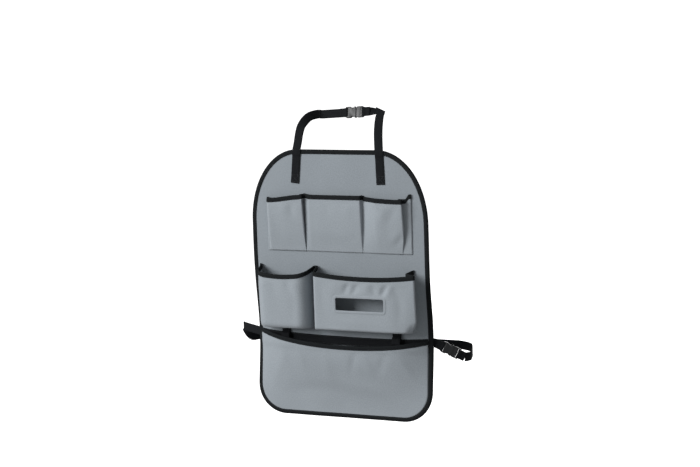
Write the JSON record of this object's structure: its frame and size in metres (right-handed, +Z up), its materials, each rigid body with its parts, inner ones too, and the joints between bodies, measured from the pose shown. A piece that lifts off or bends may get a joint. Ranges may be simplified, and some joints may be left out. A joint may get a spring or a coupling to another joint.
{
  "type": "car seat back organizer",
  "caption": "Cloth panel that hangs on the back of a car seat by two buckled straps and a belt, with sewn phone, bottle, tissue and map pockets.",
  "frame": {"origin": "midway between the headrest posts that carry the part, at the height of the strap run between them", "axes": "+Z up along the panel's height, -Y out of the pockets towards the rear passenger, +X to the right as the pockets are seen"},
  "size_m": [0.5579, 0.184, 0.6901],
  "materials": {
    "grey_cloth": "plain woven polyester with a fine coated face, matte",
    "black_tape": "ribbed edge binding tape, matte",
    "black_webbing": "woven polypropylene webbing, low sheen",
    "black_plastic": "moulded acetal, satin gloss"
  },
  "bodies": {
    "root": {"back_panel": "grey_cloth", "edge_binding": "black_tape", "upper_pocket_strip": "grey_cloth", "upper_pocket_binding": "black_tape", "snug_pocket": "grey_cloth", "snug_pocket_binding": "black_tape", "tissue_pocket": "grey_cloth", "tissue_pocket_binding": "black_tape", "map_pocket": "grey_cloth", "map_pocket_binding": "black_tape", "shoulder_strap_left": "black_webbing", "shoulder_strap_right": "black_webbing", "top_buckle_socket": "black_plastic", "top_buckle_plug": "black_plastic", "side_strap_short": "black_webbing", "side_strap_long": "black_webbing", "side_buckle_socket": "black_plastic", "side_buckle_plug": "black_plastic", "hanging_loop_left": "black_webbing", "hanging_loop_right": "black_webbing"}
  },
  "joints": []
}
